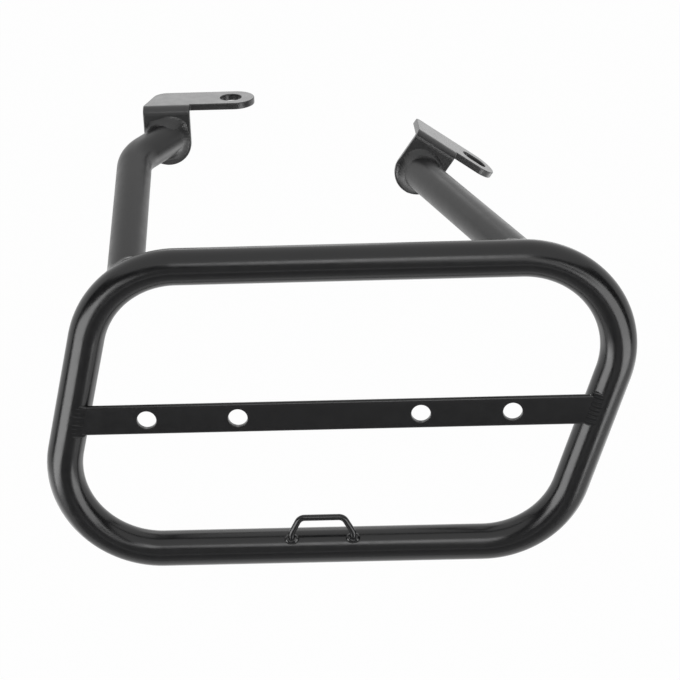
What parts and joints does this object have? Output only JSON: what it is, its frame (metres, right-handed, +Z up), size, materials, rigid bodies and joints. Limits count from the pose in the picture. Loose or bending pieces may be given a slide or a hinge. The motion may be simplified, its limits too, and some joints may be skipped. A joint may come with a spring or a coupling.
{
  "type": "pannier frame",
  "caption": "Welded tube rack for one side bag of a motorbike: a rounded loop with a drilled cross bar, a strap loop, and arms that end in folded bolt brackets.",
  "frame": {"origin": "middle of the bag bolt holes, on the front face of the cross bar", "axes": "+X to the right along the bolt line, +Y back towards the motorbike, +Z up"},
  "size_m": [0.3261, 0.1843, 0.2252],
  "materials": {
    "frame": "satin black powder coat on steel",
    "weld": "satin black powder coat over rippled weld beads"
  },
  "bodies": {
    "root": {"loop_tube": "frame", "cross_bar": "frame", "strap_loop": "frame", "left_arm": "frame", "right_arm": "frame", "left_bracket": "frame", "right_bracket": "frame", "cross_bar_left_weld": "weld", "cross_bar_right_weld": "weld", "strap_loop_left_weld": "weld", "strap_loop_right_weld": "weld", "left_arm_loop_weld": "weld", "right_arm_loop_weld": "weld", "left_arm_bracket_weld": "weld", "right_arm_bracket_weld": "weld"}
  },
  "joints": []
}
